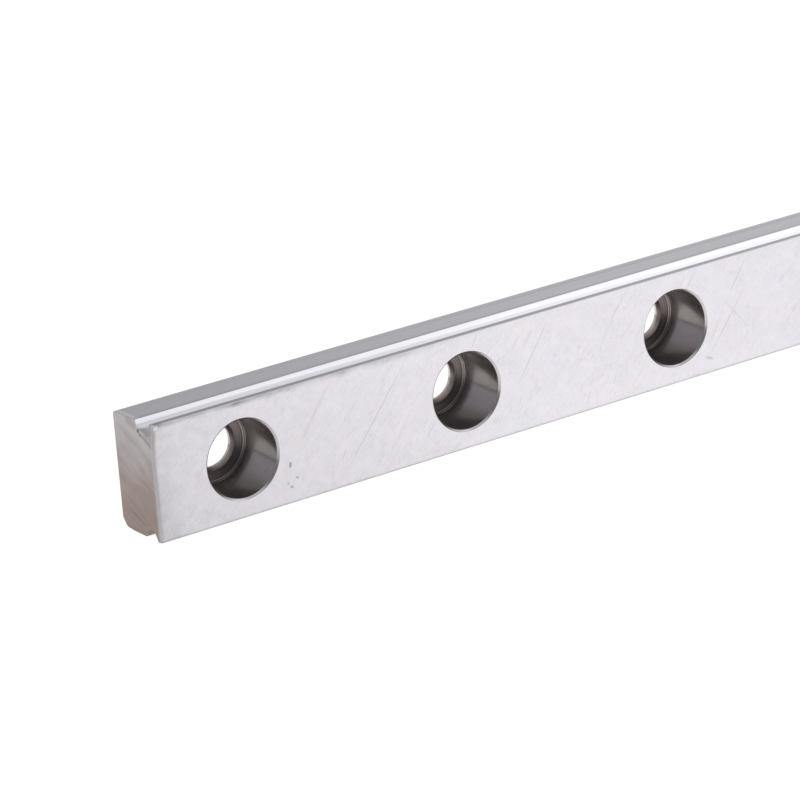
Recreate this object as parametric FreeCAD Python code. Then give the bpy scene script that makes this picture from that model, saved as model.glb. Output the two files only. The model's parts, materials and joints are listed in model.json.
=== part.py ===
"""Miniature linear guide rail: one bar of ground steel with a ball raceway along each side
and a row of counterbored screw holes.

Frame, in millimetres: the rail lies on one of its side faces, as it would on a table.
X runs along the rail, with the origin at the middle of its length.
Y runs through the rail's height, from the hole face at -Y to the mounting face at +Y.
Z runs across the rail's width, from the side it lies on at 0 to the other side.
"""
import FreeCAD, Part
import math
import os

# Bar
rail_length = 155.0
rail_width = 9.0
rail_height = 5.5
hole_face_edge_break = 0.06
mounting_face_edge_radius = 0.45
end_edge_break = 0.2

# Ball raceway, a gothic arch cut along each side
raceway_below_hole_face = 1.385
raceway_mouth = 1.73
raceway_depth = 0.76
raceway_arc_radius = 0.9

# Screw holes
hole_pitch = 20.0
end_to_first_hole = 7.5
screw_diameter = 3.0
screw_clearance = 0.5
screw_head_diameter = 5.5
screw_head_clearance = 0.5
seat_thickness = 1.0
mouth_edge_break = 0.15
floor_corner_radius = 0.1
seat_edge_break = 0.25
exit_edge_break = 0.5

# How far a hole's cutter stands out of the bar at each end
cutter_overrun = 1.0

# A whole number of pitches must not be lost to rounding
rounding = 1e-6

hole_face_y = -rail_height / 2
mounting_face_y = rail_height / 2
middle_z = rail_width / 2


def section_point(below_hole_face, from_middle):
    """A point of the rail's cross-section, at the rail's -X end."""
    return FreeCAD.Vector(-rail_length / 2, hole_face_y + below_hole_face, middle_z + from_middle)


def line(start, end):
    return Part.LineSegment(start, end).toShape()


def raceway_flank(side, towards):
    """One arc of a raceway, from its rim to the bottom. Side is the side of the rail, and
    towards is 1 for the flank nearer the mounting face and -1 for the one nearer the hole face."""
    half_mouth = raceway_mouth / 2
    chord = math.hypot(half_mouth, raceway_depth)
    sagitta = raceway_arc_radius - math.sqrt(raceway_arc_radius**2 - (chord / 2) ** 2)
    bow_along = half_mouth / 2 + sagitta * raceway_depth / chord
    bow_in = raceway_depth / 2 + sagitta * half_mouth / chord

    def flank_point(along, inwards):
        return section_point(
            raceway_below_hole_face + towards * along, side * (rail_width / 2 - inwards)
        )

    rim = flank_point(half_mouth, 0)
    bow = flank_point(bow_along, bow_in)
    bottom = flank_point(0, raceway_depth)
    return Part.Arc(rim, bow, bottom).toShape()


def side_outline(side):
    """The cross-section's outline on one side, from the hole face to the mounting face."""
    half = rail_width / 2
    near_rim = raceway_below_hole_face - raceway_mouth / 2
    far_rim = raceway_below_hole_face + raceway_mouth / 2
    hole_face_corner = section_point(0, side * (half - hole_face_edge_break))
    land_start = section_point(hole_face_edge_break, side * half)
    side_end = section_point(rail_height - mounting_face_edge_radius, side * half)
    mounting_face_corner = section_point(rail_height, side * (half - mounting_face_edge_radius))
    bow = mounting_face_edge_radius * (1 - math.sqrt(0.5))
    edge_bow = section_point(rail_height - bow, side * (half - bow))
    return [
        line(hole_face_corner, land_start),
        line(land_start, section_point(near_rim, side * half)),
        raceway_flank(side, -1),
        raceway_flank(side, 1),
        line(section_point(far_rim, side * half), side_end),
        Part.Arc(side_end, edge_bow, mounting_face_corner).toShape(),
    ]


def profiled_bar():
    """The bar with its raceways, before drilling."""
    hole_face_half = rail_width / 2 - hole_face_edge_break
    mounting_face_half = rail_width / 2 - mounting_face_edge_radius
    edges = side_outline(1) + side_outline(-1)
    edges.append(line(section_point(0, -hole_face_half), section_point(0, hole_face_half)))
    edges.append(
        line(
            section_point(rail_height, -mounting_face_half),
            section_point(rail_height, mounting_face_half),
        )
    )
    outline = Part.Wire(Part.__sortEdges__(edges))
    return Part.Face(outline).extrude(FreeCAD.Vector(rail_length, 0, 0))


def end_trimmed(bar):
    """The bar with the edges of both cut ends broken."""
    corner = FreeCAD.Vector(-rail_length / 2, hole_face_y, 0)
    envelope = Part.makeBox(rail_length, rail_height, rail_width, corner)
    end_edges = [
        edge for edge in envelope.Edges if abs(edge.CenterOfMass.x) > rail_length / 2 - rounding
    ]
    return bar.common(envelope.makeChamfer(end_edge_break, end_edges))


def hole_cutter():
    """The turned shape of one counterbored hole on the Y axis through the rail's middle."""
    hole_r = (screw_diameter + screw_clearance) / 2
    counterbore_r = (screw_head_diameter + screw_head_clearance) / 2
    seat_y = mounting_face_y - seat_thickness

    def at(radius, y):
        return FreeCAD.Vector(radius, y, middle_z)

    above = at(0, hole_face_y - cutter_overrun)
    above_rim = at(counterbore_r + mouth_edge_break, hole_face_y - cutter_overrun)
    mouth_rim = at(counterbore_r + mouth_edge_break, hole_face_y)
    wall_start = at(counterbore_r, hole_face_y + mouth_edge_break)
    wall_end = at(counterbore_r, seat_y - floor_corner_radius)
    bow = floor_corner_radius * (1 - math.sqrt(0.5))
    corner_bow = at(counterbore_r - bow, seat_y - bow)
    floor_start = at(counterbore_r - floor_corner_radius, seat_y)
    floor_end = at(hole_r + seat_edge_break, seat_y)
    hole_start = at(hole_r, seat_y + seat_edge_break)
    hole_end = at(hole_r, mounting_face_y - exit_edge_break)
    exit_rim = at(hole_r + exit_edge_break, mounting_face_y)
    below_rim = at(hole_r + exit_edge_break, mounting_face_y + cutter_overrun)
    below = at(0, mounting_face_y + cutter_overrun)
    edges = [
        line(above, above_rim),
        line(above_rim, mouth_rim),
        line(mouth_rim, wall_start),
        line(wall_start, wall_end),
        Part.Arc(wall_end, corner_bow, floor_start).toShape(),
        line(floor_start, floor_end),
        line(floor_end, hole_start),
        line(hole_start, hole_end),
        line(hole_end, exit_rim),
        line(exit_rim, below_rim),
        line(below_rim, below),
        line(below, above),
    ]
    profile = Part.Face(Part.Wire(edges))
    return profile.revolve(FreeCAD.Vector(0, 0, middle_z), FreeCAD.Vector(0, 1, 0), 360)


def hole_places():
    """The holes' places along X, from the -X end."""
    pitches = math.floor((rail_length - 2 * end_to_first_hole) / hole_pitch + rounding)
    first = -rail_length / 2 + end_to_first_hole
    return [first + i * hole_pitch for i in range(pitches + 1)]


def guide_rail():
    bar = end_trimmed(profiled_bar())
    cutters = []
    for x in hole_places():
        cutter = hole_cutter()
        cutter.translate(FreeCAD.Vector(x, 0, 0))
        cutters.append(cutter)
    return bar.cut(cutters).Solids[0]


os.makedirs("parts", exist_ok=True)
guide_rail().exportStep("parts/guide_rail.step")
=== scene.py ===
"""Looks of a miniature linear guide rail: a fine mesh of the ground bar, its steel finishes,
a plain studio and the camera. Lengths are in millimetres until a mesh or a lamp is made.

X runs along the rail, Y through its height from the hole face to the mounting face,
and Z across its width.
"""
import json
import math

import bmesh
import bpy
from mathutils import Matrix, Vector


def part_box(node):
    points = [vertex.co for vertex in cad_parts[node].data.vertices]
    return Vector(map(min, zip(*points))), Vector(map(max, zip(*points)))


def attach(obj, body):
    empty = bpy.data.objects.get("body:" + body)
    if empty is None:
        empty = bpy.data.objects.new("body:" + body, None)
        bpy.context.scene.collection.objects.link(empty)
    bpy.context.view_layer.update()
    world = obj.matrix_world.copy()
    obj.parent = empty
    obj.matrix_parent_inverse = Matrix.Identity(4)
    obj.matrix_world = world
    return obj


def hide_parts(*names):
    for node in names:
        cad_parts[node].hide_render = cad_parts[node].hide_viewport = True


MM = 0.001

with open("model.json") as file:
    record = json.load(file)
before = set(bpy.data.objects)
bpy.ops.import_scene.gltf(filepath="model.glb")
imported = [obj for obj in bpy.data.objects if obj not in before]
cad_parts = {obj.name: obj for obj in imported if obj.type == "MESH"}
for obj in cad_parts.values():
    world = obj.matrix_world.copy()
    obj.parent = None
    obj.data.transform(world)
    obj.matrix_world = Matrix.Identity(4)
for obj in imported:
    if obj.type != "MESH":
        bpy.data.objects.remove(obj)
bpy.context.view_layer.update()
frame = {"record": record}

# The bar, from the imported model
bar_low, bar_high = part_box("guide_rail")
bar_length, bar_height, bar_width = ((bar_high - bar_low) / MM)[:]
half_length = bar_length / 2
near_end_x = -half_length
hole_face_y = bar_low.y / MM
middle_z = (bar_low.z + bar_high.z) / 2 / MM
half_width = bar_width / 2
screw_holes = [m for m in frame["record"]["mounts"] if m["name"].startswith("screw_hole")]
hole_places = [m["pos_m"][0] / MM for m in screw_holes]
hole_pitch = hole_places[1] - hole_places[0]
hole_radius = screw_holes[0]["dims"]["r_mm"]

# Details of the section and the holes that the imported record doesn't give
hole_face_edge_break = 0.06
mounting_face_edge_radius = 0.45
raceway_below_hole_face = 1.385
raceway_mouth = 1.73
raceway_depth = 0.76
raceway_arc_radius = 0.9
counterbore_radius = 3.0
seat_thickness = 1.0
mouth_edge_break = 0.15
floor_corner_radius = 0.1
seat_edge_break = 0.25
exit_edge_break = 0.5

# The mark that the counterboring tool's corner left on the seat, a low ring
tool_ring_radius = 2.79
tool_ring_width = 0.06
tool_ring_height = 0.013

# The cut ends: small edge breaks, with a wider one along the hole face. The near end is cut
# a little out of square, and its upper front corner is filed off beyond a score line.
end_edge_round = 0.08
front_edge_round = 0.34
out_of_square = 0.15
score_start = Vector((1.97, 3.69))
score_end = Vector((0.18, 2.79))
filed_depth = 0.16
filed_slope_width = 1.2
filed_until = 1.45
filed_fade = 0.25

# Filing has rolled over the hole face's upper edge at that corner
rolled_round = 0.4
rolled_reach = 1.0

# The near end's lower back corner is knocked off
knock_start = Vector((4.6, -4.5))
knock_end = Vector((5.5, -3.7))
knock_slope = 0.4

# Handling has worn the hole face's lower edge round
lower_edge_round = 0.18

# Mesh steps
face_length_steps = 26
edge_round_steps = 4
back_round_steps = 8
raceway_steps = 10
land_steps = 7
side_steps = 3
flat_margin = 0.12
round_margin = 0.14
edge_distances = [0, 0.025, 0.05, 0.08, 0.14, 0.25]
middle_across_steps = 30
end_distances = [1.2, 1.05, 0.9, 0.75, 0.62, 0.5, 0.4, 0.3, 0.22, 0.15, 0.1, 0.07, 0.045, 0.02, 0]
merge_distance = 1e-4
sharp_angle = math.radians(20)


def steps(start, end, count):
    return [start + (end - start) * i / count for i in range(count + 1)]


def across_shares():
    """Places across the width as shares of half of it, close together near both edges."""
    near_edge = [1 - d / half_width for d in edge_distances]
    middle = steps(-near_edge[-1], near_edge[-1], middle_across_steps)
    return [-s for s in near_edge[:-1]] + middle + near_edge[-2::-1]


ACROSS = across_shares()
face_side_steps = len(ACROSS) - 1
ring_steps = 2 * (face_side_steps + face_length_steps)


def rounded(a, b, radius):
    """Distances from the two faces of a square edge, moved onto the round that breaks the edge."""
    if a >= radius or b >= radius:
        return a, b
    reach = math.hypot(radius - a, radius - b)
    if reach <= radius:
        return a, b
    return radius - (radius - a) * radius / reach, radius - (radius - b) * radius / reach


def beyond(below, from_middle, start, end):
    """How far a point of the section lies beyond a line across it, to the right of its direction."""
    along = (end - start).normalized()
    away = Vector((along.y, -along.x))
    return max((Vector((below, from_middle)) - start).dot(away), 0)


def eased(share):
    """A share from 0 to 1, made to start and end gently."""
    share = min(max(share, 0), 1)
    return share * share * (3 - 2 * share)


def near_end_relief(below, from_middle):
    """How far the near end's surface lies inside the bar's full length, which only its lower side
    reaches."""
    tilt = out_of_square * (half_width + from_middle) / bar_width
    filed = eased(beyond(below, from_middle, score_start, score_end) / filed_slope_width)
    filed *= filed_depth * eased((filed_until - below) / filed_fade)
    knocked = knock_slope * beyond(below, from_middle, knock_start, knock_end)
    return tilt + filed + knocked


def point(x, below, from_middle):
    """A point of the bar, given on the plain bar and moved to where its worked ends have it."""
    if from_middle < 0:
        below, from_edge = rounded(below, half_width + from_middle, lower_edge_round)
        from_middle = from_edge - half_width
    end = math.copysign(1, x)
    inside = half_length - abs(x)
    worked = end_distances[0]
    if inside <= worked:
        near = end < 0
        relief = near_end_relief(below, from_middle) if near else 0
        inside *= (worked - relief) / worked
        from_edge = half_width - abs(from_middle)
        if near and from_middle > 0:
            roll = rolled_round * eased(1 - inside / rolled_reach)
            below, from_edge = rounded(below, from_edge, roll)
        inside, below = rounded(inside, below, front_edge_round)
        inside, above_back = rounded(inside, bar_height - below, end_edge_round)
        inside, from_edge = rounded(inside, from_edge, end_edge_round)
        below = bar_height - above_back
        from_middle = math.copysign(half_width - from_edge, from_middle)
        x = end * (half_length - inside - relief)
    return (x, hole_face_y + below, middle_z + from_middle)


class Patches:
    """Grids of points that become one mesh, each with the finish of its faces."""

    def __init__(self):
        self.points = []
        self.faces = []
        self.finishes = []
        self.face_finishes = []

    def add(self, rows, finish, closed=False):
        """Rows are lists of points of the same length. A closed patch joins each row's end
        to its start."""
        if finish not in self.finishes:
            self.finishes.append(finish)
        number = self.finishes.index(finish)
        first = len(self.points)
        columns = len(rows[0])
        for row in rows:
            self.points.extend(row)
        for r in range(len(rows) - 1):
            for c in range(columns if closed else columns - 1):
                here = first + r * columns
                there = here + columns
                across = (c + 1) % columns
                self.faces.append((here + c, here + across, there + across, there + c))
                self.face_finishes.append(number)

    def mesh(self, name):
        made = bpy.data.meshes.new(name)
        made.from_pydata([Vector(p) * MM for p in self.points], [], self.faces)
        for finish in self.finishes:
            made.materials.append(material(finish))
        made.polygons.foreach_set("material_index", self.face_finishes)
        made.polygons.foreach_set("use_smooth", [True] * len(made.polygons))
        work = bmesh.new()
        work.from_mesh(made)
        bmesh.ops.remove_doubles(work, verts=work.verts, dist=merge_distance * MM)
        bmesh.ops.dissolve_degenerate(work, edges=work.edges, dist=merge_distance * MM)
        bmesh.ops.recalc_face_normals(work, faces=work.faces)
        work.to_mesh(made)
        work.free()
        made.set_sharp_from_angle(angle=sharp_angle)
        return made


def raceway_flank(towards):
    """One arc of the raceway from its rim to its bottom, as (below the hole face, from the middle)."""
    half_mouth = raceway_mouth / 2
    chord = math.hypot(half_mouth, raceway_depth)
    reach = math.sqrt(raceway_arc_radius**2 - (chord / 2) ** 2)
    centre_along = half_mouth / 2 - reach * raceway_depth / chord
    centre_in = raceway_depth / 2 - reach * half_mouth / chord
    start = math.atan2(-centre_in, half_mouth - centre_along)
    end = math.atan2(raceway_depth - centre_in, -centre_along)
    points = []
    for angle in steps(start, end, raceway_steps):
        along = centre_along + raceway_arc_radius * math.cos(angle)
        inwards = centre_in + raceway_arc_radius * math.sin(angle)
        points.append((raceway_below_hole_face + towards * along, half_width - inwards))
    return points


def quarter_round(radius, count):
    """A quarter circle that turns from one face to the next, as pairs of distances from both."""
    angles = steps(0, math.pi / 2, count)
    return [(radius * (1 - math.cos(a)), radius * (1 - math.sin(a))) for a in angles]


def side_strips():
    """The outline of one side, from the hole face to the mounting face, as (finish, points) strips."""
    near_rim = raceway_below_hole_face - raceway_mouth / 2
    far_rim = raceway_below_hole_face + raceway_mouth / 2
    side_end = bar_height - mounting_face_edge_radius
    front_edge = [
        (a, half_width - b)
        for a, b in quarter_round(hole_face_edge_break, edge_round_steps)
    ]
    back_edge = [
        (bar_height - b, half_width - a)
        for a, b in quarter_round(mounting_face_edge_radius, back_round_steps)
    ]
    land = [(t, half_width) for t in steps(hole_face_edge_break, near_rim, land_steps)]
    side = [(t, half_width) for t in steps(far_rim, side_end - flat_margin, side_steps)]
    return [
        (filed_steel, front_edge),
        (ground_steel, land),
        (honed_steel, raceway_flank(-1) + raceway_flank(1)[-2::-1]),
        (ground_steel, side + back_edge),
    ]


def hole_strips():
    """A hole's outline from the hole face to the mounting face, as (finish, points) strips,
    with points as (radius, below the hole face)."""
    floor = bar_height - seat_thickness
    corner = [
        (counterbore_radius - a, floor - b)
        for a, b in quarter_round(floor_corner_radius, edge_round_steps)
    ]
    ring = [
        (tool_ring_radius + tool_ring_width / 2, floor),
        (tool_ring_radius, floor - tool_ring_height),
        (tool_ring_radius - tool_ring_width / 2, floor),
    ]
    mouth = (counterbore_radius + mouth_edge_break, 0)
    wall = (counterbore_radius, mouth_edge_break)
    floor_end = (hole_radius + seat_edge_break, floor)
    hole_start = (hole_radius, floor + seat_edge_break)
    hole_end = (hole_radius, bar_height - exit_edge_break)
    exit_rim = (hole_radius + exit_edge_break, bar_height)
    return [
        (filed_steel, [mouth, wall]),
        (bored_steel, [wall] + corner + ring + [floor_end]),
        (drilled_steel, [floor_end, hole_start, hole_end]),
        (filed_steel, [hole_end, exit_rim]),
    ]


def cell_limits(i):
    """The stretch of rail around hole i, from halfway to the hole before it to halfway to the next."""
    worked = half_length - end_distances[0]
    start = hole_places[i] - hole_pitch / 2
    end = hole_places[i] + hole_pitch / 2
    return max(start, -worked), min(end, worked)


def cell_border(i, below, half, inset=0):
    """The border of hole i's stretch of a face, in ring_steps points, from the low corner
    at its +X end."""
    left, right = cell_limits(i)
    half -= inset
    up = [s * half for s in ACROSS]
    along = steps(left + inset, right - inset, face_length_steps)
    left, right = along[0], along[-1]
    border = [point(right, below, w) for w in up[:-1]]
    border += [point(x, below, half) for x in along[:0:-1]]
    border += [point(left, below, w) for w in up[:0:-1]]
    border += [point(x, below, -half) for x in along[:-1]]
    return border


def hole_ring(i, radius, below):
    """A ring of hole i, in ring_steps points that stand across from those of its border."""
    first = -math.pi * face_side_steps / ring_steps
    ring = []
    for k in range(ring_steps):
        angle = first + 2 * math.pi * k / ring_steps
        x = hole_places[i] + radius * math.cos(angle)
        ring.append(point(x, below, radius * math.sin(angle)))
    return ring


def add_holes(patches):
    """Each hole with its stretch of the hole face and of the mounting face."""
    hole_face_half = half_width - hole_face_edge_break
    mounting_face_half = half_width - mounting_face_edge_radius
    strips = hole_strips()
    mouth_radius = strips[0][1][0][0]
    exit_radius = strips[-1][1][-1][0]
    for i in range(len(hole_places)):
        front = [
            cell_border(i, 0, hole_face_half),
            cell_border(i, 0, hole_face_half, round_margin),
            cell_border(i, 0, hole_face_half, round_margin + flat_margin),
            hole_ring(i, mouth_radius, 0),
        ]
        back = [
            hole_ring(i, exit_radius, bar_height),
            cell_border(i, bar_height, mounting_face_half, flat_margin),
            cell_border(i, bar_height, mounting_face_half),
        ]
        patches.add(front, lapped_steel, closed=True)
        for finish, outline in strips:
            patches.add([hole_ring(i, r, below) for r, below in outline], finish, closed=True)
        patches.add(back, rough_ground_steel, closed=True)


def rail_stations():
    """Places along the rail from end to end, close together at the worked ends."""
    places = [near_end_x + d for d in end_distances[:0:-1]]
    for i in range(len(hole_places)):
        places += steps(*cell_limits(i), face_length_steps)[1 if i else 0 :]
    return places + [half_length - d for d in end_distances[1:]]


def add_sides(patches):
    stations = rail_stations()
    for side in (-1, 1):
        for finish, outline in side_strips():
            rows = [[point(x, below, side * w) for x in stations] for below, w in outline]
            patches.add(rows, finish)


def add_ends(patches):
    """The worked end of each face and the cut itself."""
    section = [(0, half_width - hole_face_edge_break)]
    for _, outline in side_strips():
        section += outline[1:]
    for end in (-1, 1):
        places = [end * (half_length - d) for d in end_distances]
        for (below, half), finish in ((section[0], lapped_steel), (section[-1], rough_ground_steel)):
            rows = [[point(x, below, s * half) for s in ACROSS] for x in places]
            patches.add(rows, finish)
        cut = [[point(places[-1], below, s * half) for s in ACROSS] for below, half in section]
        patches.add(cut, sawn_steel)


def build_rail():
    patches = Patches()
    add_holes(patches)
    add_sides(patches)
    add_ends(patches)
    rail = bpy.data.objects.new("ground_rail", patches.mesh("ground_rail"))
    bpy.context.scene.collection.objects.link(rail)
    return rail


# Colours and nodes

# A Map Range node turns a value (input 0) over a span (1 to 2) into a share (3 to 4),
# here with gentle ends
SOFT = {"interpolation_type": "SMOOTHSTEP"}


def linear(code):
    """An sRGB hex colour as linear red, green, blue and alpha."""
    channels = [int(code[i : i + 2], 16) / 255 for i in (1, 3, 5)]
    return tuple(c / 12.92 if c <= 0.04045 else ((c + 0.055) / 1.055) ** 2.4 for c in channels) + (1,)


def add(tree, kind, links=None, **settings):
    """One node. Settings are its own values, and links give its inputs, by name or number,
    each a value, a socket or a node whose first output is meant."""
    made = tree.nodes.new(kind)
    for name, value in settings.items():
        setattr(made, name, value)
    for name, value in (links or {}).items():
        if isinstance(value, bpy.types.Node):
            value = value.outputs[0]
        if isinstance(value, bpy.types.NodeSocket):
            tree.links.new(value, made.inputs[name])
        else:
            made.inputs[name].default_value = value
    return made


def rail_place(tree):
    """Places on the rail in millimetres."""
    spot = add(tree, "ShaderNodeTexCoord").outputs["Object"]
    return add(tree, "ShaderNodeVectorMath", {0: spot, "Scale": 1 / MM}, operation="SCALE")


def material(finish):
    """A material with the finish's name, which the finish draws from the place on the rail
    and from its X, Y and Z."""
    made = bpy.data.materials.new(finish.__name__)
    made.use_nodes = True
    tree = made.node_tree
    tree.nodes.clear()
    place = rail_place(tree)
    axes = add(tree, "ShaderNodeSeparateXYZ", {0: place}).outputs
    finish(tree, place, axes)
    return made


def steel(tree, colours, roughness, shares, blend=0):
    """A metal whose colour blends from the first to the last of its colours
    and is dimmed by shares."""
    tints = {0: blend, 6: linear(colours[0]), 7: linear(colours[-1])}
    tint = add(tree, "ShaderNodeMix", tints, data_type="RGBA").outputs[2]
    for share in shares:
        dimmed = {0: tint, "Scale": share}
        tint = add(tree, "ShaderNodeVectorMath", dimmed, operation="SCALE").outputs[0]
    metal = {"Base Color": tint, "Metallic": 1, "Roughness": roughness}
    add(tree, "ShaderNodeOutputMaterial", {"Surface": add(tree, "ShaderNodeBsdfPrincipled", metal)})


def streaks(tree, place, size, low, high, turn=(0, 0, 0), span=(0.3, 0.7)):
    """Noise drawn out to a size in millimetres and turned, as a share from low to high.
    A span high in the noise leaves only scattered strokes."""
    laid = add(
        tree,
        "ShaderNodeMapping",
        {"Vector": place, "Rotation": [math.radians(a) for a in turn], "Scale": size},
        vector_type="TEXTURE",
    )
    noise = add(tree, "ShaderNodeTexNoise", {"Vector": laid, "Scale": 1, "Detail": 3})
    return add(tree, "ShaderNodeMapRange", {0: noise, 1: span[0], 2: span[1], 3: low, 4: high})


def marks(tree, place, strokes, on_face, normal):
    """What scratches, pits and painted shadow strokes leave of a face's brightness. A stroke is
    (start, end, width, strength), with two places that on_face finds, and fades out towards its rim."""
    half_with_fade = 0.55
    full_until = 0.1
    right_through = 1e4
    darkest = 0
    for start, end, width, strength in strokes:
        start = on_face(*start)
        end = on_face(*end)
        along = (end - start).normalized()
        turn = Matrix((along, normal, along.cross(normal))).transposed().to_euler()
        laid = add(
            tree,
            "ShaderNodeMapping",
            {
                "Vector": place,
                "Location": (start + end) / 2,
                "Rotation": turn,
                "Scale": ((end - start).length * half_with_fade, right_through, width / 2),
            },
            vector_type="TEXTURE",
        )
        square = add(tree, "ShaderNodeVectorMath", {0: laid, 1: laid}, operation="MULTIPLY")
        away = add(tree, "ShaderNodeVectorMath", {0: square}, operation="LENGTH").outputs["Value"]
        fade = {0: away, 1: full_until, 2: 1, 3: strength, 4: 0}
        mark = add(tree, "ShaderNodeMapRange", fade, **SOFT)
        darkest = add(tree, "ShaderNodeMath", {0: darkest, 1: mark}, operation="MAXIMUM")
    return add(tree, "ShaderNodeMath", {0: 1, 1: darkest}, operation="SUBTRACT")


def on_hole_face(from_end, from_middle):
    """A place on the hole face, from its near end and its middle line."""
    return Vector((near_end_x + from_end, hole_face_y, middle_z + from_middle))


def on_end(below, from_middle):
    """A place on the square near end, from the hole face and the middle line."""
    return Vector((near_end_x, hole_face_y + below, middle_z + from_middle))


# Finishes

# Marks on the hole face, as (start, end, width, strength), with each place as millimetres
# from the near end and from the middle of the width
scratch_width = 0.13
deep_strength = 0.16
faint_strength = 0.07
face_scratches = [
    ((22.7, 4.4), (16.0, -3.6), scratch_width, deep_strength),
    ((15.5, 4.0), (12.3, -0.3), 0.32, 0.09),
    ((16.4, -1.5), (15.8, -2.5), scratch_width, deep_strength),
    ((24.5, -1.5), (23.5, -2.7), scratch_width, deep_strength),
    ((23.1, 3.4), (24.1, 2.2), scratch_width, faint_strength),
    ((22.6, 0.15), (20.1, -3.1), scratch_width, faint_strength),
    ((21.25, 4.1), (19.6, 2.2), scratch_width, faint_strength),
    ((17.8, 2.0), (15.0, -0.9), scratch_width, faint_strength),
    ((28.75, 4.2), (28.2, 3.2), scratch_width, deep_strength),
    ((35.4, 3.7), (32.2, -0.7), scratch_width, deep_strength),
    ((33.9, 3.4), (32.9, 2.1), 0.3, faint_strength),
    ((32.7, 3.2), (31.7, 2.0), 0.3, faint_strength),
    ((32.2, -2.55), (33.3, -3.8), scratch_width, faint_strength),
    ((42.7, 3.8), (41.1, 2.0), scratch_width, deep_strength),
    ((43.5, 1.8), (42.0, 0.3), scratch_width, faint_strength),
    ((40.8, 1.1), (39.9, 0.0), scratch_width, faint_strength),
    ((44.3, -2.0), (42.9, -3.7), scratch_width, faint_strength),
    ((48.8, 4.05), (48.1, 3.2), scratch_width, deep_strength),
    ((49.7, 4.1), (48.8, 2.9), scratch_width, deep_strength),
    ((54.8, 4.1), (53.0, 1.5), scratch_width, deep_strength),
    ((54.6, 1.86), (50.9, -2.8), scratch_width, deep_strength),
    ((52.5, 0.9), (50.5, -2.55), scratch_width, faint_strength),
    ((52.3, 1.2), (54.8, -1.8), scratch_width, 0.12),
    ((50.2, -3.05), (51.0, -3.4), 0.3, 0.22),
]
face_pits = [
    ((11.45, -1.25), (11.36, -1.75), 0.28, 0.5),
    ((11.8, -2.5), (12.0, -2.7), 0.22, 0.4),
    ((11.05, -2.75), (11.1, -3.0), 0.22, 0.3),
    ((11.2, -3.1), (11.5, -3.3), 0.22, 0.35),
    ((16.9, 3.6), (17.0, 3.6), 0.2, 0.2),
    ((45.7, 3.0), (45.8, 3.0), 0.2, 0.2),
    ((40.65, -4.0), (40.75, -4.0), 0.2, 0.2),
]

# Marks on the near end and one painted shadow, with each place as millimetres below the hole face and
# from the middle
end_marks_and_shadow = [
    ((1.86, 3.56), (0.1, 2.75), 0.38, 0.28),
    ((1.3, 3.8), (0.2, 4.1), 1.1, 0.22),
    ((2.1, 3.8), (1.8, 3.6), 0.5, 0.6),
    ((1.85, 3.5), (1.6, 3.38), 0.4, 0.55),
    # Painted shadow: a dark band along the raceway's outline on the end, for the shadow of the raised
    # lip at its rim
    ((3.8, 4.35), (2.1, 3.85), 0.8, 0.2),
    ((4.4, 1.1), (0.6, -0.9), 0.16, 0.12),
    ((5.0, 0.3), (2.2, -1.2), 0.16, 0.10),
    ((5.2, -1.5), (1.2, -3.6), 0.18, 0.14),
    ((4.5, -2.75), (1.9, -3.7), 0.35, 0.18),
]


def dulled_edge(tree, place, axes):
    """What handling has left of the hole face's brightness along its upper edge: a ragged
    and patchy band that fades out away from the cut end."""
    from_edge = add(tree, "ShaderNodeMath", {0: bar_width, 1: axes["Z"]}, operation="SUBTRACT")
    ragged = streaks(tree, place, (2, 1, 0.5), -0.15, 0.15)
    depth = add(tree, "ShaderNodeMath", {0: from_edge, 1: ragged}, operation="ADD")
    dull = add(tree, "ShaderNodeMapRange", {0: depth, 1: -0.2, 2: 0.62, 3: -0.56, 4: 0}, **SOFT)
    reach = {0: axes["X"], 1: near_end_x + 10, 2: near_end_x + 33, 3: 1, 4: 0}
    fading = add(tree, "ShaderNodeMapRange", reach, **SOFT)
    faded = add(tree, "ShaderNodeMath", {0: dull, 1: fading}, operation="MULTIPLY")
    patchy = streaks(tree, place, (1.5, 1, 1), 0.5, 1.4)
    return add(tree, "ShaderNodeMath", {0: faded, 1: patchy, 2: 1}, operation="MULTIPLY_ADD")


def dulled_end(tree, place, axes):
    """What handling has left of the hole face's brightness beside the cut end: a worn edge,
    painted shade on a band beside it that is deepest low down, and a smudged stretch next to it."""
    from_edge = add(tree, "ShaderNodeMath", {0: bar_width, 1: axes["Z"]}, operation="SUBTRACT")
    lean_share = out_of_square / bar_width
    lean = add(tree, "ShaderNodeMath", {0: from_edge, 1: lean_share}, operation="MULTIPLY")
    leaning_x = add(tree, "ShaderNodeMath", {0: axes["X"], 1: lean}, operation="ADD")
    upper_cut_x = near_end_x + out_of_square
    from_cut = add(tree, "ShaderNodeMath", {0: leaning_x, 1: upper_cut_x}, operation="SUBTRACT")
    edge = add(tree, "ShaderNodeMapRange", {0: from_cut, 1: 0, 2: 0.32, 3: 0.8, 4: 1}, **SOFT)
    wide = add(tree, "ShaderNodeMapRange", {0: from_cut, 1: 0.3, 2: 2.5, 3: 1, 4: 0}, **SOFT)
    # Painted shade: the band beside the cut is painted darker towards the floor
    low = add(tree, "ShaderNodeMapRange", {0: axes["Z"], 1: 6, 2: 1.5, 3: -0.07, 4: -0.16}, **SOFT)
    worn = add(tree, "ShaderNodeMath", {0: wide, 1: low, 2: edge}, operation="MULTIPLY_ADD")
    smudges = streaks(tree, place, (0.9, 1, 0.7), 0.03, -0.06)
    near = add(tree, "ShaderNodeMapRange", {0: from_cut, 1: 2, 2: 9, 3: 1, 4: 0}, **SOFT)
    smudged = add(tree, "ShaderNodeMath", {0: smudges, 1: near, 2: 1}, operation="MULTIPLY_ADD")
    return worn, smudged


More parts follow.
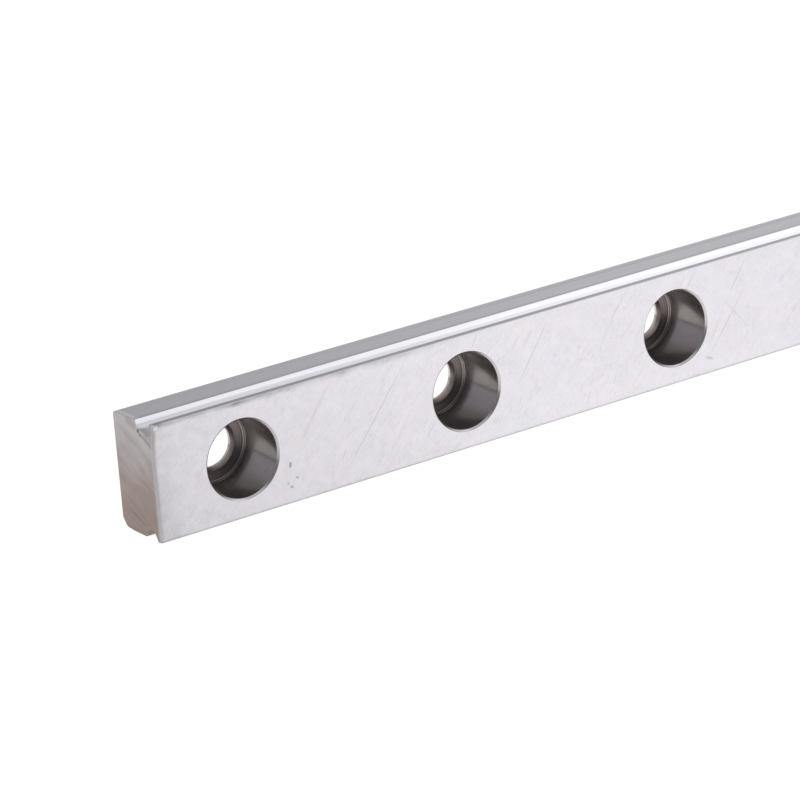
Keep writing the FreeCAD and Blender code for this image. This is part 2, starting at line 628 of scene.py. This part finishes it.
def lapping_lines(tree, place):
    """The hatch of the hole face, each set of lines as a share of its brightness."""
    # Real lapping lines are about 0.01 mm wide, and these are drawn fifteen times as wide,
    # so that they show
    few = (0.56, 0.74)
    bunches = streaks(tree, place, (3, 1, 2), 0, 1, span=(0.42, 0.62))
    fine = streaks(tree, place, (0.6, 1, 0.14), 0, -0.1, (0, -54, 0), (0.5, 0.7))
    return [
        add(tree, "ShaderNodeMath", {0: fine, 1: bunches, 2: 1}, operation="MULTIPLY_ADD"),
        streaks(tree, place, (2.5, 1, 0.14), 0.99, 1.009, (0, -51, 0)),
        streaks(tree, place, (2.5, 1, 0.14), 0.989, 1.01, (0, 49, 0)),
        streaks(tree, place, (0.85, 1, 0.18), 1, 0.94, (0, -54, 0), few),
        streaks(tree, place, (0.75, 1, 0.17), 1, 1.05, (0, -47, 0), few),
        streaks(tree, place, (0.65, 1, 0.17), 1, 0.95, (0, 46, 0), few),
    ]


def lapped_steel(tree, place, axes):
    """Hardened steel, lapped to a fine crossed hatch and then marked in use: long scratches, a few
    pits and a worn end, with painted shade low down beside the cut and a painted highlight at its
    upper corner. It gives the eye the bright, faintly lavender face that the holes are cut in."""
    clean = marks(tree, place, face_scratches + face_pits, on_hole_face, Vector((0, 1, 0)))
    band = dulled_edge(tree, place, axes)
    worn, smudged = dulled_end(tree, place, axes)

    # Painted highlight: the raised lip at the corner where both meet is painted brighter, for its
    # glint
    corner = on_hole_face(out_of_square + 0.15, half_width - 0.1)
    from_corner = add(tree, "ShaderNodeVectorMath", {0: place, 1: corner}, operation="DISTANCE")
    spot = {0: from_corner.outputs["Value"], 1: 0.3, 2: 0.6, 3: 1.2, 4: 0}
    burr_highlight = add(tree, "ShaderNodeMapRange", spot, **SOFT)
    worn_and_shaded = add(tree, "ShaderNodeMath", {0: band, 1: worn}, operation="MULTIPLY")
    dirt_and_shade = add(tree, "ShaderNodeMath", {0: worn_and_shaded, 1: smudged}, operation="MULTIPLY")
    wear_shade_and_highlight = add(tree, "ShaderNodeMath", {0: dirt_and_shade, 1: burr_highlight}, operation="MAXIMUM")

    hatch = lapping_lines(tree, place)
    cloudy = streaks(tree, place, (1.2, 1, 0.9), 0.98, 1.02)
    mottle = streaks(tree, place, (2, 1, 1.5), 0, 1)
    steel(tree, ("#eae8ef", "#ede8ec"), 0.3, hatch + [cloudy, wear_shade_and_highlight, clean], mottle)


def rough_ground_steel(tree, place, axes):
    """Steel ground flat along its length, with lines drawn wider than the real ones so that they show.
    It gives the face that the rail is bolted down on an even, brushed grey."""
    lines = streaks(tree, place, (30, 1, 0.12), 0.93, 1.04)
    steel(tree, ("#dedce0",), 0.3, [lines])


def ground_steel(tree, place, axes):
    """Hardened steel ground along its length, with lines drawn wider than the real ones
    so that they show. It gives the sides a grey shine that is duller on the narrow land
    beside the raceway, most of all towards the near end, with a painted highlight at that end
    and a line of painted shade along the back edge."""
    lines = streaks(tree, place, (25, 0.15, 0.15), 0.96, 1.03)
    land_end = hole_face_y + raceway_below_hole_face - raceway_mouth / 2
    rim_y = land_end + raceway_mouth
    back_y = hole_face_y + bar_height
    beside_land = {0: axes["X"], 1: near_end_x + 8, 2: near_end_x + 50, 3: 0.84, 4: 0.94}
    dull = add(tree, "ShaderNodeMapRange", beside_land, **SOFT)
    on_land = {0: axes["Y"], 1: land_end - 0.05, 2: land_end + 0.4, 3: dull, 4: 1}
    land = add(tree, "ShaderNodeMapRange", on_land, **SOFT)
    # Painted highlight: the last half millimetre of the sides at the near end is painted brighter, for
    # the glint of the raised lip there
    at_end = {0: axes["X"], 1: near_end_x + 0.4, 2: near_end_x + 0.85, 3: 1.25, 4: 0}
    rubbed = add(tree, "ShaderNodeMapRange", at_end, **SOFT)
    bright = add(tree, "ShaderNodeMath", {0: land, 1: rubbed}, operation="MAXIMUM")
    at_rim = {0: axes["Y"], 1: rim_y + 0.12, 2: rim_y + 0.6, 3: 0.8, 4: 1}
    rim = add(tree, "ShaderNodeMapRange", at_rim, **SOFT)

    # Painted shade: a darker line is painted along the back edge and fades out towards the near end
    aside = add(tree, "ShaderNodeMath", {0: axes["Y"], 1: back_y - 0.95}, operation="SUBTRACT")
    from_line = add(tree, "ShaderNodeMath", {0: aside}, operation="ABSOLUTE")
    dark = add(tree, "ShaderNodeMapRange", {0: from_line, 1: 0.1, 2: 0.4, 3: -0.14, 4: 0}, **SOFT)
    run = {0: axes["X"], 1: near_end_x + 15, 2: near_end_x + 45, 3: 0.2, 4: 1}
    fading = add(tree, "ShaderNodeMapRange", run, **SOFT)
    back_edge_shade = add(tree, "ShaderNodeMath", {0: dark, 1: fading, 2: 1}, operation="MULTIPLY_ADD")
    steel(tree, ("#dddbe0",), 0.22, [lines, bright, rim, back_edge_shade])


def honed_steel(tree, place, axes):
    """Hardened steel honed along the ball track, with lines drawn wider than the real ones
    so that they show. It gives a bright line along each side, with grime and a pale rust stain
    at the near end."""
    lines = streaks(tree, place, (20, 0.09, 0.09), 0.93, 1.05)
    bottom = on_end(raceway_below_hole_face, half_width - raceway_depth)
    bottom.x += out_of_square
    from_bottom = add(tree, "ShaderNodeVectorMath", {0: place, 1: bottom}, operation="DISTANCE")
    spot = {0: from_bottom.outputs["Value"], 1: 0.4, 2: 0.75, 3: 0.7, 4: 1}
    grime = add(tree, "ShaderNodeMapRange", spot, **SOFT)
    at_end = {0: axes["X"], 1: near_end_x + 0.3, 2: near_end_x + 1.5, 3: 1, 4: 0}
    near = add(tree, "ShaderNodeMapRange", at_end, **SOFT)
    lower = add(tree, "ShaderNodeMapRange", {0: axes["Z"], 1: 3, 2: 2, 3: 0, 4: 1}, **SOFT)
    rust = add(tree, "ShaderNodeMath", {0: near, 1: lower}, operation="MULTIPLY")
    haze = add(tree, "ShaderNodeMapRange", {0: rust, 1: 0, 2: 1, 3: 0.14, 4: 0.6})

    # Deep in the groove the track is cleaner further from the near end
    in_groove = {0: axes["Z"], 1: bar_width - 0.2, 2: bar_width - 0.5, 3: 0, 4: 0.15}
    deep = add(tree, "ShaderNodeMapRange", in_groove, **SOFT)
    run = {0: axes["X"], 1: near_end_x + 8, 2: near_end_x + 50, 3: 0, 4: 1}
    further = add(tree, "ShaderNodeMapRange", run, **SOFT)
    track = add(tree, "ShaderNodeMath", {0: deep, 1: further, 2: 1}, operation="MULTIPLY_ADD")
    steel(tree, ("#e9e8ec", "#e6d8ce"), haze, [lines, grime, track], rust)


def bored_steel(tree, place, axes):
    """Steel turned out by a counterboring tool, with its rings. It gives the holes dark walls
    that mirror the light behind the rail through a haze, and dull seats."""
    rings_per_mm = 6
    tears_per_mm = 200
    first = hole_places[0]
    pitch = {0: axes["X"], 1: first + hole_pitch / 2, 2: first - hole_pitch / 2}
    in_pitch = add(tree, "ShaderNodeMath", pitch, operation="WRAP")
    sideways = add(tree, "ShaderNodeMath", {0: in_pitch, 1: first}, operation="SUBTRACT")
    up = add(tree, "ShaderNodeMath", {0: axes["Z"], 1: middle_z}, operation="SUBTRACT")
    spoke = add(tree, "ShaderNodeCombineXYZ", {0: sideways, 2: up})
    radius = add(tree, "ShaderNodeVectorMath", {0: spoke}, operation="LENGTH").outputs["Value"]
    travel = add(tree, "ShaderNodeMath", {0: radius, 1: axes["Y"]}, operation="ADD")
    seat_y = hole_face_y + bar_height - seat_thickness
    at_seat = {0: axes["Y"], 1: seat_y - 0.3, 2: seat_y - 0.1, 3: 0, 4: 1}
    on_seat = add(tree, "ShaderNodeMapRange", at_seat, **SOFT)

    # Rings a sixth of a millimetre apart, as the tool was fed
    feed = {"W": travel, "Scale": rings_per_mm, "Detail": 3}
    ring = add(tree, "ShaderNodeTexNoise", feed, noise_dimensions="1D")
    low = add(tree, "ShaderNodeMapRange", {0: on_seat, 1: 0, 2: 1, 3: 0.97, 4: 0.7}, **SOFT)
    high = add(tree, "ShaderNodeMapRange", {0: on_seat, 1: 0, 2: 1, 3: 1.03, 4: 1.2}, **SOFT)
    rings = add(tree, "ShaderNodeMapRange", {0: ring, 1: 0.3, 2: 0.7, 3: low, 4: high}, **SOFT)

    # Polished and torn rings, 0.005 mm apart and too fine to show, give a mirror with a haze
    tears = {"W": travel, "Scale": tears_per_mm, "Detail": 1}
    fine = add(tree, "ShaderNodeTexNoise", tears, noise_dimensions="1D")
    torn = add(tree, "ShaderNodeMapRange", {0: on_seat, 1: 0, 2: 1, 3: 0.8, 4: 0.35}, **SOFT)
    haze = add(tree, "ShaderNodeMapRange", {0: fine, 1: 0.39, 2: 0.69, 3: 0.14, 4: torn}, **SOFT)

    # Painted light and shade: walls and seats are painted paler towards their top and darker towards
    # their foot
    paler = add(tree, "ShaderNodeMapRange", {0: up, 1: 0.9, 2: 1.5, 3: 1, 4: 1.35}, **SOFT)
    darker = add(tree, "ShaderNodeMapRange", {0: up, 1: -2, 2: -2.7, 3: 1, 4: 0.75}, **SOFT)
    wall_light = add(tree, "ShaderNodeMath", {0: paler, 1: darker}, operation="MULTIPLY")
    seat_light = add(tree, "ShaderNodeMapRange", {0: up, 1: -2, 2: 1.5, 3: 0.55, 4: 1.4}, **SOFT)
    light = add(tree, "ShaderNodeMix", {0: on_seat, 2: wall_light, 3: seat_light})

    # Painted reflection: the lower half of the wall is painted a little more blue, down to its foot,
    # for the tint of the light behind the rail that it mirrors
    below = add(tree, "ShaderNodeMapRange", {0: up, 1: -0.4, 2: -1.2, 3: 0, 4: 1}, **SOFT)
    above_foot = add(tree, "ShaderNodeMapRange", {0: up, 1: -2.6, 2: -2.1, 3: 0, 4: 1}, **SOFT)
    lower_wall = add(tree, "ShaderNodeMath", {0: below, 1: above_foot}, operation="MULTIPLY")
    bluer_reflection = add(tree, "ShaderNodeMix", {0: on_seat, 2: lower_wall, 3: 0})
    steel(tree, ("#aca4a2", "#aaa3a8"), haze, [rings, light], bluer_reflection)


def drilled_steel(tree, place, axes):
    """Steel left by a drill, with rings. It gives the screw holes a bright wall with painted shade
    that darkens it towards the seat."""
    lines = streaks(tree, place, (1, 0.15, 1), 0.85, 1.15)
    seat_y = hole_face_y + bar_height - seat_thickness
    # Painted shade: the wall is painted darker towards the seat edge
    below_seat = {0: axes["Y"], 1: seat_y, 2: seat_y + 0.3, 3: 0.5, 4: 1.1}
    seat_shade = add(tree, "ShaderNodeMapRange", below_seat, **SOFT)
    steel(tree, ("#cac3bf",), 0.2, [lines, seat_shade])


def sawn_steel(tree, place, axes):
    """Steel sawn through and roughly filed, with slanting saw lines. It gives the ends a dull grey
    that turns brown towards the floor."""
    slant = 28
    clean = marks(tree, place, end_marks_and_shadow, on_end, Vector((1, 0, 0)))
    lines = streaks(tree, place, (1, 3, 0.3), 0.975, 1.025, (slant, 0, 0))
    scores = streaks(tree, place, (1, 1.8, 0.12), 1, 0.92, (slant + 4, 0, 0), (0.55, 0.72))
    patches = streaks(tree, place, (1, 2.5, 0.8), -0.14, 0.14, (slant, 0, 0))
    uneven = {0: patches, 1: bar_width, 2: axes["Z"]}
    height = add(tree, "ShaderNodeMath", uneven, operation="MULTIPLY_ADD")
    fall = {0: height, 1: 0.22 * bar_width, 2: 1.1 * bar_width, 3: 1, 4: 0}
    stain = add(tree, "ShaderNodeMapRange", fall, **SOFT)
    front = {0: axes["Y"], 1: hole_face_y + 0.1, 2: hole_face_y + 0.5, 3: 0, 4: 1}
    rubbed = add(tree, "ShaderNodeMapRange", front, **SOFT)
    brown = add(tree, "ShaderNodeMath", {0: stain, 1: rubbed}, operation="MULTIPLY")
    steel(tree, ("#cecacc", "#a8968f"), 0.42, [lines, scores, clean], brown)


def filed_steel(tree, place, axes):
    """Steel with its edges broken by a file. It gives a narrow rim, a little duller than the faces,
    along the edges and around the holes."""
    worn = streaks(tree, place, (1.5, 0.3, 0.3), 0.9, 1.06)
    steel(tree, ("#d0cccd",), 0.25, [worn])


# The studio


def make_floor():
    """A wide white sweep. The eye and the steel see it as white, and it keeps a faint shadow
    of the rail. In the steel its glow carries painted shade: a little greyer towards the rail's near
    end, greyer still in front of that end, dim far behind the rail, and a painted contact shadow right
    at its foot."""
    sweep_size = 4
    glow = 1.17
    glow_share = 0.8
    bpy.ops.mesh.primitive_plane_add(size=sweep_size)
    floor = bpy.context.object
    floor.name = "floor"
    paint = bpy.data.materials.new("white_sweep")
    paint.use_nodes = True
    tree = paint.node_tree
    tree.nodes.clear()
    path = add(tree, "ShaderNodeLightPath").outputs
    axes = add(tree, "ShaderNodeSeparateXYZ", {0: rail_place(tree)}).outputs
    # Painted shade in what the steel mirrors: the glow is lowered towards the rail's near end, in
    # front of that end and far behind the rail
    beside_rail = {0: axes["X"], 1: near_end_x - 2, 2: near_end_x + 44, 3: 0.775, 4: 0.985}
    along = add(tree, "ShaderNodeMapRange", beside_rail, **SOFT)
    past_end = {0: axes["X"], 1: near_end_x, 2: near_end_x - 14, 3: 0, 4: -0.2}
    left = add(tree, "ShaderNodeMapRange", past_end, **SOFT)
    front = add(tree, "ShaderNodeMapRange", {0: axes["Y"], 1: 3, 2: -3, 3: 0, 4: 1}, **SOFT)
    corner = add(tree, "ShaderNodeMath", {0: left, 1: front, 2: 1}, operation="MULTIPLY_ADD")
    far = add(tree, "ShaderNodeMapRange", {0: axes["Y"], 1: 50, 2: 160, 3: 1, 4: 0.45}, **SOFT)
    gap = -bar_length
    for axis, half in (("X", half_length), ("Y", bar_height / 2)):
        size = add(tree, "ShaderNodeMath", {0: axes[axis]}, operation="ABSOLUTE")
        past = add(tree, "ShaderNodeMath", {0: size, 1: half}, operation="SUBTRACT")
        gap = add(tree, "ShaderNodeMath", {0: gap, 1: past}, operation="MAXIMUM")
    # Painted contact shadow: under the rail and right beside its foot the glow that the steel mirrors
    # is lowered
    foot = add(tree, "ShaderNodeMapRange", {0: gap, 1: -0.3, 2: 0.4, 3: 0.4, 4: 1}, **SOFT)
    glossy = {0: path["Is Glossy Ray"], 1: path["Is Transmission Ray"]}
    in_steel = add(tree, "ShaderNodeMath", glossy, operation="MAXIMUM")
    for share in (along, corner, far, foot):
        in_steel = add(tree, "ShaderNodeMath", {0: in_steel, 1: share}, operation="MULTIPLY")
    seen = add(tree, "ShaderNodeMath", {0: path["Is Camera Ray"], 1: in_steel}, operation="MAXIMUM")
    strength = add(tree, "ShaderNodeMath", {0: seen, 1: glow}, operation="MULTIPLY")
    shine = add(tree, "ShaderNodeEmission", {"Color": linear("#ffffff"), "Strength": strength})
    matt = add(tree, "ShaderNodeBsdfDiffuse", {"Color": linear("#f4f4f4")})
    mixed = add(tree, "ShaderNodeMixShader", {"Fac": glow_share, 1: matt, 2: shine})
    add(tree, "ShaderNodeOutputMaterial", {"Surface": mixed})
    floor.data.materials.append(paint)


def make_world():
    """A soft white studio, brightest low in front and to the right, greyer overhead and behind,
    with the dark of the camera's own corner and a dim line where the table ends behind."""
    camera_corner = Vector((-0.62, -0.68, 0.39)).normalized()
    strength_behind = 0.66
    world = bpy.data.worlds.new("studio")
    bpy.context.scene.world = world
    world.use_nodes = True
    tree = world.node_tree
    tree.nodes.clear()
    path = add(tree, "ShaderNodeLightPath").outputs
    way = add(tree, "ShaderNodeTexCoord").outputs["Generated"]
    axes = add(tree, "ShaderNodeSeparateXYZ", {0: way}).outputs
    front = add(tree, "ShaderNodeMapRange", {0: axes["Z"], 1: 0.3, 2: 0.9, 3: 1.12, 4: 1.02}, **SOFT)
    behind = add(tree, "ShaderNodeMapRange", {0: axes["Y"], 1: -0.2, 2: 0.5, 3: 0, 4: 1}, **SOFT)
    light = add(tree, "ShaderNodeMix", {0: behind, 2: front, 3: strength_behind})
    grey_from = {0: axes["X"], 1: -0.35, 2: 0.1, 3: 0, 4: -0.34}
    grey_start = add(tree, "ShaderNodeMapRange", grey_from, **SOFT)
    grey_until = {0: axes["X"], 1: 0.4, 2: 0.6, 3: 1, 4: 0}
    grey_end = add(tree, "ShaderNodeMapRange", grey_until, **SOFT)
    grey = {0: grey_start, 1: grey_end, 2: 1}
    sideways = add(tree, "ShaderNodeMath", grey, operation="MULTIPLY_ADD")
    at_right = {0: axes["X"], 1: 0.68, 2: 0.92, 3: 1, 4: 0.72}
    far_right = add(tree, "ShaderNodeMapRange", at_right, **SOFT)
    facing = add(tree, "ShaderNodeVectorMath", {0: way, 1: camera_corner}, operation="DOT_PRODUCT")
    towards = facing.outputs["Value"]
    corner = add(tree, "ShaderNodeMapRange", {0: towards, 1: 0.62, 2: 0.96, 3: 1, 4: 0.2}, **SOFT)
    low = add(tree, "ShaderNodeMapRange", {0: axes["Z"], 1: 0.02, 2: 0.11, 3: -0.6, 4: 0}, **SOFT)
    table_end = add(tree, "ShaderNodeMath", {0: behind, 1: low, 2: 1}, operation="MULTIPLY_ADD")
    left = add(tree, "ShaderNodeMapRange", {0: axes["X"], 1: 0.1, 2: -0.3, 3: 0, 4: 1}, **SOFT)
    behind_left = add(tree, "ShaderNodeMath", {0: behind, 1: left}, operation="MULTIPLY")
    high = add(tree, "ShaderNodeMapRange", {0: axes["Z"], 1: 0.1, 2: 0.6, 3: 0, 4: -0.2}, **SOFT)
    back_left = add(tree, "ShaderNodeMath", {0: behind_left, 1: high, 2: 1}, operation="MULTIPLY_ADD")
    for share in (sideways, far_right, corner, table_end, back_left):
        light = add(tree, "ShaderNodeMath", {0: light, 1: share}, operation="MULTIPLY")
    seen = add(tree, "ShaderNodeMix", {0: path["Is Camera Ray"], 2: light, 3: 1})
    sky = add(tree, "ShaderNodeBackground", {"Color": linear("#fcfcff"), "Strength": seen})
    add(tree, "ShaderNodeOutputWorld", {"Surface": sky})


def make_key():
    """One large soft box in front of the rail, to its right and above it."""
    place = Vector((180, -350, 165))
    target = Vector((-50, 0, 5))
    width = 300
    height = 250
    watts = 0.05
    lamp = bpy.data.lights.new("key", "AREA")
    lamp.shape = "RECTANGLE"
    lamp.size = width * MM
    lamp.size_y = height * MM
    lamp.energy = watts
    box = bpy.data.objects.new("key", lamp)
    bpy.context.scene.collection.objects.link(box)
    box.location = place * MM
    box.rotation_euler = (target - place).to_track_quat("-Z", "Y").to_euler()


def make_camera():
    """A long lens in front of the rail's -X end and a little above it, turned a few degrees
    about its own axis."""
    aim = on_hole_face(21.45, 0.92)
    azimuth = math.radians(-32.52)
    elevation = math.radians(18.65)
    roll = math.radians(5.24)
    distance = 293.9
    lens = 177.15
    sensor = 36
    nearest = 10
    back = Vector(
        (
            math.sin(azimuth) * math.cos(elevation),
            -math.cos(azimuth) * math.cos(elevation),
            math.sin(elevation),
        )
    )
    camera = bpy.data.objects.new("camera", bpy.data.cameras.new("camera"))
    bpy.context.scene.collection.objects.link(camera)
    camera.data.lens = lens
    camera.data.sensor_width = sensor
    camera.data.clip_start = nearest * MM
    turned = back.to_track_quat("Z", "Y") @ Matrix.Rotation(-roll, 3, "Z").to_quaternion()
    camera.rotation_euler = turned.to_euler()
    camera.location = (aim + back * distance) * MM
    bpy.context.scene.camera = camera


rail = build_rail()
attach(rail, "root")
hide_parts("guide_rail")

make_floor()
make_world()
make_key()
make_camera()
bpy.context.scene.view_settings.view_transform = "Standard"
